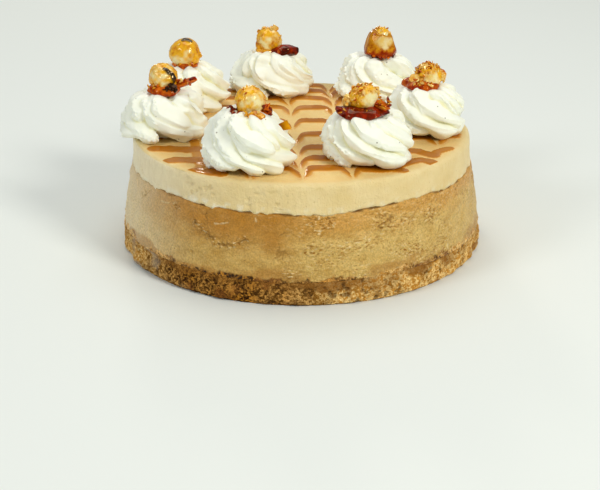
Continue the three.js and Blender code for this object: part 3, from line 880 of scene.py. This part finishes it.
def makeNut(foot, at, size, pale, strips, crackle, seed):
    # the nut shows bare on one side, and amber sugar lies thicker all round that
    rings = [(math.sin(t) * 0.5, -math.cos(t) * 0.5) for t in np.linspace(0, math.pi, 65)]
    piece, angle, out, level = turnedPiece("nutBody", rings, 96)
    unit = roundPoints(angle, out, level)
    bare = unit @ (np.array(pale) / np.linalg.norm(pale)) * 2
    bare = bare + 0.45 * softNoise(unit, 0.3, seed + 2) + 0.25 * softNoise(unit, 0.13, seed + 3)
    coat = smoothStep(1.05, 0.55, bare)
    drawn = unit * [1, 1, 0.6] + 0.05 * softNoise(unit, 0.3, seed + 5)[:, None]
    swell = 1 + 0.04 * unevenField(seed, 1.1)(unit) + 0.03 * softNoise(unit, 0.3, seed)
    cracked = 0.06 * softNoise(drawn, 0.2, seed + 1) + 0.04 * softNoise(drawn, 0.11, seed + 4)
    cracked += 0.035 * softNoise(unit, 0.06, seed + 7)
    swell += crackle * coat * cracked
    husk = np.zeros(len(unit))
    for start, finish, width in strips:
        start, finish = [np.array(end) / np.linalg.norm(end) * 0.5 for end in (start, finish)]
        way = finish - start
        walk = np.clip((unit - start) @ way / np.sum(way ** 2), 0, 1)
        away = np.linalg.norm(unit - start - walk[:, None] * way, axis=1)
        away += 0.04 * softNoise(unit, 0.12, seed + 6)
        husk = np.maximum(husk, 1 - smoothStep(0.6 * width, width, away))
    swell += 0.06 * husk
    paint(piece, "coat", coat)
    paint(piece, "husk", husk)
    return placeLump(piece, unit * swell[:, None], at, size, 0, foot, "nut")


def makeSkirt(foot, finish, at, size, top, seed):
    # a low puddle with a ragged edge, or a cone of sugar that runs up round the nut
    cone = finish == "cone"
    outs = [0, 0.3, 0.43, 0.49, 0.5, 0.46, top / 2, top / 3.5, 0]
    ups = [-0.5, -0.5, -0.46, -0.3, -0.1, 0.12, 0.35, 0.46, 0.5]
    if cone:
        outs = [0, 0.4, 0.5, 0.49, 0.44, 0.39, 0.33, 0.2, 0]
        ups = [-0.5, -0.5, -0.44, -0.3, -0.1, 0.12, 0.33, 0.47, 0.5]
    walk = np.linspace(0, 1, 48)
    knots = np.linspace(0, 1, len(outs))
    path = relax(np.column_stack([np.interp(walk, knots, outs), np.interp(walk, knots, ups)]), 6)
    piece, angle, out, level = turnedPiece("skirtBody", list(map(tuple, path)), 96)
    unit = roundPoints(angle, out, level)
    ragged = 0.05 if cone else 0.12
    swell = 1 + 0.08 * unevenField(seed, 1.1)(unit) + ragged * ringWaves(2 * angle, seed)
    unit = unit * np.column_stack([swell, swell, np.ones_like(swell)])
    lumps = 0.1 * softNoise(unit, 0.45, seed + 1) + 0.06 * softNoise(unit, 0.2, seed + 2)
    unit[:, 2] += lumps * np.minimum(out / 0.1, 1)
    unit = facet(unit, seed + 4, 26, *((0.5, 0.62) if cone else (0.44, 0.6)))
    window = np.linalg.norm(unit - [0.14, -0.4, 0.12], axis=1) + 0.08 * softNoise(unit, 0.2, seed + 3)
    paint(piece, "coat", smoothStep(0.2, 0.32, window))
    return placeLump(piece, unit, at, size, 0, foot, finish)


def makeBit(foot, finish, at, size, tilt, seed):
    piece = makeBall(4)
    unit = readPoints(piece)
    swell = 1 + 0.12 * softNoise(unit, 0.4, seed) + 0.06 * softNoise(unit, 0.16, seed + 1)
    unit = facet(unit * swell[:, None], seed, 16, 0.29, 0.46)
    return placeLump(piece, unit, at, size, tilt, foot, finish)


def makeSugar(foot, nut, pale, count, lowest, largest, spread, seed):
    # broken sugar on the upper part of the nut, most of it near the top and none on the bare side
    draws = np.random.default_rng(seed)
    at, size = nut
    bareWay = np.array(pale) / np.linalg.norm(pale)
    crystals = []
    for number in range(count):
        level = 1 - (1 - lowest) * draws.random() ** 1.3
        angle = draws.random() * 2 * math.pi
        out = math.sqrt(max(0, 1 - level * level))
        way = np.array([out * math.cos(angle), out * math.sin(angle), level])
        if way @ bareWay > 0.72:
            continue
        reach = draws.uniform(0.49, 0.54) + spread * (1 - level) / 2
        across = largest * (0.4 + 0.6 * draws.random() ** 2)
        piece, unit = makeChip("crystal", draws, seed + number)
        finish = draws.choice(["ember", "amber", "gold"], p=[0.12, 0.38, 0.5])
        tilt = draws.uniform(-1, 1)
        crystals.append(placeLump(piece, unit, way * size * reach + at, across, tilt, foot, finish))
    return crystals


def makeShards(foot, finishes, at, spread, count, largest, seed):
    # a heap of small broken bits where the sugar cracked
    draws = np.random.default_rng(seed)
    shards = []
    for number in range(count):
        spot = np.array(at) + 0.5 * np.array(spread) * draws.normal(size=3).clip(-1.6, 1.6)
        across = largest * draws.uniform(0.45, 1)
        piece, unit = makeChip("shard", draws, seed + number)
        shards.append(placeLump(piece, unit, spot, across, 0, foot, draws.choice(finishes.split())))
    return shards


def makeCandy(number):
    place = rosettes[number]
    form = candies[number]
    seed = 140 + 10 * number
    foot = [place["x"], place["y"], cake["top"]]
    nut = makeNut(foot, *form["nut"], form["pale"], form.get("strips", []), form.get("crackle", 1), seed)
    parts = [nut, makeSkirt(foot, *form["skirt"], seed + 1)]
    for index, bit in enumerate(form["bits"]):
        parts.append(makeBit(foot, *bit, seed + 2 + index))
    parts += makeSugar(foot, form["nut"], form["pale"], *form["sugar"], seed)
    for index, heap in enumerate(form["shards"]):
        parts += makeShards(foot, *heap, seed + 300 + 20 * index)
    piece = joinParts(parts, f"candiedHazelnut{number + 1}")
    bpy.ops.object.shade_smooth_by_angle(angle=math.radians(24))
    return piece


# caramel splinter: a thin broken plate in the front rosette's right flank, its left end sunk in the cream
splinter = {
    "at": [17.5, -3, 20.4],
    "corners": [[-7.5, -2.4], [-3.2, -1.9], [3.7, -1], [1.6, 3.8], [-7.5, -0.6]],
    "thickness": 1.4,
    "bevel": 0.12,
    "lean": -0.25,
}


def makeSplinter():
    form = splinter
    count = len(form["corners"])
    deselectAll()
    bpy.ops.mesh.primitive_circle_add(vertices=count, radius=mm, fill_type="NGON")
    piece = bpy.context.object
    piece.name = "caramelSplinter"
    writePoints(piece, np.column_stack([form["corners"], np.full(count, -form["thickness"] / 2)]))
    editAll()
    bpy.ops.mesh.extrude_region_move(TRANSFORM_OT_translate={"value": (0, 0, form["thickness"] * mm)})
    bpy.ops.mesh.select_all(action="SELECT")
    bpy.ops.mesh.normals_make_consistent(inside=False)
    bpy.ops.mesh.bevel(offset=form["bevel"] * mm, segments=1, affect="EDGES")
    bpy.ops.mesh.select_all(action="SELECT")
    bpy.ops.mesh.quads_convert_to_tris()
    bpy.ops.mesh.subdivide(number_cuts=4)
    leaveEdit()
    plate = readPoints(piece)
    plate[:, 2] += 0.18 * softNoise(plate, 3, 71) + 0.05 * softNoise(plate, 1, 72)
    stand = math.pi / 2 + form["lean"]
    y = plate[:, 1] * math.cos(stand) - plate[:, 2] * math.sin(stand)
    z = plate[:, 1] * math.sin(stand) + plate[:, 2] * math.cos(stand)
    foot = [rosettes[0]["x"], rosettes[0]["y"], cake["top"]]
    writePoints(piece, np.column_stack([plate[:, 0], y, z]) + np.add(form["at"], foot))
    bpy.ops.object.shade_smooth_by_angle(angle=math.radians(20))
    return piece


# materials, each named for what the real thing is
def crumbColor(tree, spot, toast):
    # grains from dark brown to gold, in dark and buttery patches, with black gaps between the grains as
    # painted shade
    grain = addNode(tree, "TexVoronoi", {"size": 1, "Vector": spot}, "Color")
    clump = addNode(tree, "TexVoronoi", {"size": 1.923, "Vector": spot}, "Color")
    seams = addNode(tree, "TexVoronoi", {"feature": "DISTANCE_TO_EDGE", "size": 1.25, "Vector": spot})
    patch = addNode(tree, "TexNoise", {"size": 8.333, "Detail": 4, "Roughness": 0.65, "Vector": spot})
    smear = addNode(tree, "TexNoise", {"size": 11.765, "Detail": 3, "Distortion": 0.4, "Vector": spot})
    cell = addNode(tree, "SeparateColor", {0: grain})
    lump = addNode(tree, "SeparateColor", {0: clump})
    both = addNode(tree, "Math", {"operation": "MULTIPLY_ADD", 0: lump, 1: 0.5, 2: cell})
    pale = addNode(tree, "MapRange", {0: both, 1: 0.46, 2: 1.1})
    rich = addNode(tree, "MapRange", {0: toast, 1: 0.05, 2: 0.95})
    spared = addNode(tree, "Math", {"operation": "MULTIPLY_ADD", 0: rich, 1: -0.7, 2: 1})
    dark = addNode(tree, "MapRange", {0: patch, 1: 0.5, 2: 0.6})
    butter = addNode(tree, "MapRange", {0: smear, 1: 0.57, 2: 0.66, 4: 0.75})
    gap = addNode(tree, "MapRange", {0: seams, 1: 0.09, 2: 0.03, 4: 0.8})
    where = addNode(tree, "MapRange", {0: patch, 1: 0.42, 2: 0.58})
    brownGrains = layerColors(tree, "#301400", (pale, "#C48228"))
    goldGrains = layerColors(tree, "#CE9038", (pale, "#FFDA90"))
    darkGrains = layerColors(tree, "#220C00", (pale, "#94601E"))
    color = layerColors(
        tree, brownGrains, (rich, goldGrains), (dark, spared, darkGrains), (butter, "#8C5622"),
        (gap, where, spared, "#2A1204"),
    )
    return color, patch, seams


def biscuitMaterial():
    # crushed biscuit and butter, matt, with a dark moist band on top in places
    material, tree, spot, shadedPit, toast, moist, greasySheen = newMaterial(
        "pressedBiscuitCrumb", "shadedPit", "toast", "moist", "greasySheen",
    )
    color, patch, seams = crumbColor(tree, spot, toast)
    band = layerColors(tree, "#66380C", (patch, "#B07832"))
    # painted shade in the pits, hollows and at the foot, and a painted greyish sheen at the front left
    color = layerColors(tree, color, (moist, band), (shadedPit, "#34180A"), (greasySheen, "#B0A088"))
    fine = addNode(tree, "TexNoise", {"size": 0.7143, "Detail": 2, "Vector": spot})
    height = addNode(tree, "Math", {"operation": "ADD", 0: fine, 1: seams})
    bump = addNode(tree, "Bump", {"Strength": 0.8, "Distance": 0.8 * mm, "Height": height})
    giveSurface(tree, {"Base Color": color, "Roughness": 0.7, "Specular IOR Level": 0.06, "Normal": bump})
    return material


def bakedMaterial():
    # baked custard: fine grained tan, browner under the mousse and at the crust, with pits and pale scrapes
    material, tree, spot, torn, rise, leftSheen, scrape, scaly, shade, brown, crumb, toast = newMaterial(
        "bakedCheeseFilling", "torn", "rise", "leftSheen", "scrape", "scaly", "shade", "brown", "crumb", "toast",
    )
    flat = addNode(tree, "Mapping", {"Scale": (1, 1, 2.2), "Vector": spot})
    cloud = addNode(tree, "TexNoise", {"size": 33.333, "Detail": 5, "Roughness": 0.6, "Vector": flat})
    mottle = addNode(tree, "TexNoise", {"size": 9.0909, "Detail": 4, "Roughness": 0.65, "Vector": flat})
    grit = addNode(tree, "TexNoise", {"size": 0.9091, "Detail": 2, "Vector": spot})
    tone = addNode(tree, "MapRange", {0: mottle, 1: 0.3, 2: 0.7})
    drift = addNode(tree, "Math", {"operation": "MULTIPLY_ADD", 0: cloud, 1: 1.1, 2: -0.55})
    lifted = addNode(tree, "Math", {"operation": "ADD", 0: rise, 1: drift})
    smooth = {"interpolation_type": "SMOOTHSTEP", 0: lifted}
    high = addNode(tree, "MapRange", {**smooth, 1: 0.5, 2: 0.95})
    soaked = addNode(tree, "MapRange", {**smooth, 1: 0.16, 2: 0.02, 4: 0.6})
    lower = layerColors(tree, "#BE984E", (tone, "#D8B870"))
    upper = layerColors(tree, "#C08C3A", (tone, "#D6A45A"))
    # the left side is paler as a painted sheen, and the dark line under the mousse is painted shade
    color = layerColors(
        tree, lower, (high, upper), (leftSheen, "#E6D2A8"), (soaked, "#A87430"), (brown, "#A86C16"),
        (shade, "#6E4A1C"), (scrape, "#DEC998"),
    )

    # pale and dark scales, pinholes darkened as painted shade, torn stretches whose cracks are darkened as
    # painted shade, and the crumbs that stick to the foot
    level = addNode(tree, "Mapping", {"Scale": (1, 1, 2), "Vector": spot})
    flecks = addNode(tree, "TexNoise", {"size": 2.0833, "Detail": 2, "Vector": level})
    light = addNode(tree, "MapRange", {0: flecks, 1: 0.58, 2: 0.68})
    deepest = addNode(tree, "MapRange", {0: flecks, 1: 0.42, 2: 0.34})
    pinholes = addNode(tree, "TexVoronoi", {"size": 1.923, "Vector": spot}, "Distance")
    hole = addNode(tree, "MapRange", {0: pinholes, 1: 0.2, 2: 0.08})
    where = addNode(tree, "MapRange", {0: cloud, 1: 0.52, 2: 0.62})
    holeShare = addNode(tree, "Math", {"operation": "MULTIPLY", 0: hole, 1: where})
    color = layerColors(
        tree, color, (light, scaly, "#E4CC98"), (deepest, scaly, "#94621E"), (holeShare, "#7E5524"),
        (torn, "#9A7030"), (crumb, crumbColor(tree, spot, toast)[0]),
    )
    gritTone = addNode(tree, "MapRange", {0: grit, 1: 0.35, 2: 0.65, 3: 0.85, 4: 1.15})
    grey = addNode(tree, "CombineColor", {0: gritTone, 1: gritTone, 2: gritTone})
    darkened = {"data_type": "RGBA", "blend_type": "MULTIPLY", 0: 1, 6: color, 7: grey}
    speckled = addNode(tree, "Mix", darkened, 2)
    scales = addNode(tree, "Math", {"operation": "MULTIPLY", 0: flecks, 1: scaly})
    relief = addNode(tree, "Math", {"operation": "MULTIPLY_ADD", 0: scales, 1: 2, 2: grit})
    height = addNode(tree, "Math", {"operation": "MULTIPLY_ADD", 0: holeShare, 1: -1.2, 2: relief})
    bump = addNode(tree, "Bump", {"Strength": 0.6, "Distance": 0.7 * mm, "Height": height})
    giveSurface(tree, {
        "Base Color": speckled, "Roughness": 0.4, "Specular IOR Level": 0.35, "Specular Tint": "#FFE2B8",
        "Subsurface Weight": 0.1, "Subsurface Radius": (1, 0.6, 0.3), "Subsurface Scale": 2 * mm,
        "Normal": bump,
    })
    return material


def mousseMaterial():
    # whipped mousse, satin and pale with fine bubbles, and glossy caramel that thins out to the drawn tips
    material, tree, spot, caramel, top, leftSheen, flaky = newMaterial(
        "mousseWithCaramel", "caramel", "top", "leftSheen", "flaky",
    )
    cloud = addNode(tree, "TexNoise", {"size": 16.667, "Detail": 5, "Roughness": 0.65, "Vector": spot})
    grit = addNode(tree, "TexNoise", {"size": 1, "Detail": 2, "Vector": spot})
    tone = addNode(tree, "MapRange", {0: cloud, 1: 0.32, 2: 0.68})
    upright = addNode(tree, "Mapping", {"Scale": (1, 1, 0.22), "Rotation": (0, 0.2, 0), "Vector": spot})
    streak = addNode(tree, "TexNoise", {"size": 1.923, "Detail": 4, "Roughness": 0.75, "Vector": upright})
    streaked = addNode(tree, "MapRange", {0: streak, 1: 0.56, 2: 0.4, 4: 0.22})
    bubbles = addNode(tree, "TexVoronoi", {"size": 3.0303, "Vector": spot}, "Distance")
    hole = addNode(tree, "MapRange", {0: bubbles, 1: 0.14, 2: 0.05})
    where = addNode(tree, "MapRange", {0: cloud, 1: 0.5, 2: 0.62})
    holeShare = addNode(tree, "Math", {"operation": "MULTIPLY", 0: hole, 1: where})
    thin = addNode(tree, "MapRange", {0: caramel, 1: 0.04, 2: 0.5})
    thick = addNode(tree, "MapRange", {0: caramel, 1: 0.4, 2: 1})
    side = layerColors(tree, "#E5CB8F", (tone, "#EFD9A4"))
    face = layerColors(tree, "#E8BE76", (tone, "#F0D08C"))
    syrup = layerColors(tree, "#D28C24", (thick, "#AE6606"))
    # the left side is paler as a painted sheen, and the bubbles are darker as painted shade
    color = layerColors(
        tree, side, (leftSheen, "#F6EACA"), (streaked, leftSheen, "#B89A66"), (flaky, "#F0E5C6"), (top, face),
        (holeShare, "#CDAE74"), (thin, syrup),
    )
    gloss = addNode(tree, "MapRange", {0: caramel, 1: 0.1, 2: 0.5, 3: 0.45, 4: 0.07})
    dry = addNode(tree, "MapRange", {0: caramel, 1: 0.1, 2: 0.5, 3: 0.5, 4: 0.03})
    relief = addNode(tree, "Math", {"operation": "MULTIPLY_ADD", 0: streak, 1: 1.6, 2: grit})
    height = addNode(tree, "Math", {"operation": "MULTIPLY_ADD", 0: holeShare, 1: -1.5, 2: relief})
    bump = addNode(tree, "Bump", {"Distance": 1.1 * mm, "Height": height, "Strength": dry})
    giveSurface(tree, {
        "Base Color": color, "Roughness": gloss, "Specular IOR Level": 0.16, "Specular Tint": "#FFDCA8",
        "Subsurface Weight": 0.12, "Subsurface Radius": (1, 0.75, 0.45), "Subsurface Scale": 1.5 * mm,
        "Normal": bump,
    })
    return material


def creamMaterial():
    # whipped cream: ivory white, with painted yellowish shade in the folds and a few dark vanilla seeds
    material, tree, spot, foldShade = newMaterial("whippedVanillaCream", "foldShade")
    seeds = addNode(tree, "TexVoronoi", {"size": 3.8462, "Vector": spot}, "Color")
    cell = addNode(tree, "SeparateColor", {0: seeds})
    chosen = addNode(tree, "Math", {"operation": "GREATER_THAN", 0: cell, 1: 0.84})
    dot = addNode(tree, "MapRange", {0: seeds.node.outputs["Distance"], 1: 0.13, 2: 0.06})
    color = layerColors(tree, "#F7F8E6", (foldShade, "#EFEABE"), (chosen, dot, "#8B8068"))
    fine = addNode(tree, "TexNoise", {"size": 2.381, "Detail": 3, "Vector": spot})
    bump = addNode(tree, "Bump", {"Strength": 0.08, "Distance": 0.5 * mm, "Height": fine})
    giveSurface(tree, {
        "Base Color": color, "Roughness": 0.42, "Specular IOR Level": 0.4, "Subsurface Weight": 0.3,
        "Subsurface Radius": (1, 0.95, 0.8), "Subsurface Scale": 2.5 * mm, "Normal": bump,
    })
    return material


def nutMaterial():
    # a blanched hazelnut in clear boiled sugar: wet gloss, pale where bare, amber to toffee under thick sugar
    material, tree, spot, coat, husk = newMaterial("sugarCoatedHazelnut", "coat", "husk")
    cloud = addNode(tree, "TexNoise", {"size": 4.3478, "Detail": 4, "Roughness": 0.65, "Vector": spot})
    toffee = addNode(tree, "MapRange", {0: cloud, 1: 0.46, 2: 0.66})
    bare = layerColors(tree, "#F4E6AE", (toffee, "#E8C45E"))
    amber = layerColors(tree, "#F2B61C", (toffee, "#CA7806"))
    giveSurface(tree, {
        "Base Color": layerColors(tree, bare, (coat, amber), (husk, "#1C0A04")),
        "Roughness": 0.06, "Specular IOR Level": 0.95, "Specular Tint": "#FFE2B0",
        "Subsurface Weight": 0.25, "Subsurface Radius": (1, 0.8, 0.4), "Subsurface Scale": 1 * mm,
    })
    return material


def caramelMaterial(name, deep, bright, clear, size, gloss, tint):
    # boiled sugar that set like glass: deep where it is thick, bright where light comes through
    material, tree, spot = newMaterial(name)
    cloud = addNode(tree, "TexNoise", {"size": size, "Detail": 3, "Roughness": 0.6, "Vector": spot})
    share = addNode(tree, "MapRange", {0: cloud, 1: 0.38, 2: 0.66})
    giveSurface(tree, {
        "Base Color": layerColors(tree, deep, (share, bright)), "Roughness": 0.05,
        "Specular IOR Level": gloss, "Specular Tint": tint, "Transmission Weight": clear,
    })
    return material


clearSugar = {
    "Roughness": 0.05, "Specular IOR Level": 0.35, "Specular Tint": "#FFD090", "Transmission Weight": 0.1,
}


def coneMaterial():
    # clear amber sugar over a nut: gold on top, pale where the nut shows and red brown at the foot
    material, tree, spot, coat = newMaterial("amberSugarCone", "coat")
    level = addNode(tree, "SeparateXYZ", {0: spot}, "Z")
    cloud = addNode(tree, "TexNoise", {"size": 4.1667, "Detail": 3, "Roughness": 0.6, "Vector": spot})
    share = addNode(tree, "MapRange", {0: cloud, 1: 0.38, 2: 0.62})
    drift = addNode(tree, "Math", {"operation": "MULTIPLY_ADD", 0: cloud, 1: 12 * mm, 2: -6 * mm})
    lifted = addNode(tree, "Math", {"operation": "ADD", 0: level, 1: drift})
    smooth = {"interpolation_type": "SMOOTHSTEP", 0: lifted}
    high = addNode(tree, "MapRange", {**smooth, 1: 89.5 * mm, 2: 94.5 * mm})
    peak = addNode(tree, "MapRange", {**smooth, 1: 98 * mm, 2: 102 * mm})
    foot = layerColors(tree, "#8C2000", (share, "#B8480A"))
    bare = layerColors(tree, "#EFC96A", (share, "#F6E2A8"))
    amber = layerColors(tree, "#C07606", (share, "#E09C1A"))
    tip = layerColors(tree, "#A05E08", (share, "#C8821A"))
    glass = layerColors(tree, bare, (coat, amber))
    giveSurface(tree, {"Base Color": layerColors(tree, foot, (high, glass), (peak, tip)), **clearSugar})
    return material


def splinterMaterial():
    # a thin plate of the same sugar: red brown at its left end and bright amber where light comes through
    material, tree, spot = newMaterial("caramelPlate")
    across = addNode(tree, "SeparateXYZ", {0: spot}, "X")
    cloud = addNode(tree, "TexNoise", {"size": 3.3333, "Detail": 2, "Vector": spot})
    drift = addNode(tree, "Math", {"operation": "MULTIPLY_ADD", 0: cloud, 1: 6 * mm, 2: across})
    share = addNode(tree, "MapRange", {0: drift, 1: -9 * mm, 2: -2 * mm})
    giveSurface(tree, {"Base Color": layerColors(tree, "#6A1000", (share, "#FFB008")), **clearSugar})
    return material


def dress(piece, material, slot, *nodes):
    if material:
        piece.data.materials.append(material)
    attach(piece, "root")
    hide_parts(*nodes)


dress(makeCrust(), biscuitMaterial(), "biscuit_crust", "crust")
dress(makeBaked(), bakedMaterial(), "baked_filling", "baked_layer")
dress(makeMousse(), mousseMaterial(), "mousse_top", "mousse")
print("cheesecake: layers made")

cream = creamMaterial()
for number in range(len(rosettes)):
    dress(makeRosette(number), cream, "whipped_cream", f"rosette_{number + 1}")
print("cheesecake: rosettes piped")

# set caramel: deep and bright colour, clearness, size of its clouds in mm, gloss and the gloss's tint
candyMaterials = {
    "nut": nutMaterial(),
    "dark": caramelMaterial("darkSetCaramel", "#3C0200", "#982004", 0, 5, 0.45, "#FFC890"),
    "ember": caramelMaterial("redSetCaramel", "#8A1C00", "#DC6E10", 0, 5, 0.5, "#FFC890"),
    "amber": caramelMaterial("amberSetCaramel", "#C06402", "#FFBE2C", 0.1, 4, 0.8, "#FFE0AC"),
    "gold": caramelMaterial("brokenBoiledSugar", "#E8980C", "#FFE68A", 0.1, 3, 1, "#FFE8BC"),
    "skin": caramelMaterial("toastedNutSkin", "#1C0B05", "#3A160A", 0, 3, 0.4, "#FFC890"),
    "cone": coneMaterial(),
}
for number in range(len(rosettes)):
    dress(makeCandy(number), None, "candied_hazelnut", f"hazelnut_{number + 1}")
dress(makeSplinter(), splinterMaterial(), "hard_caramel", "caramel_splinter")
print("cheesecake: nuts candied")
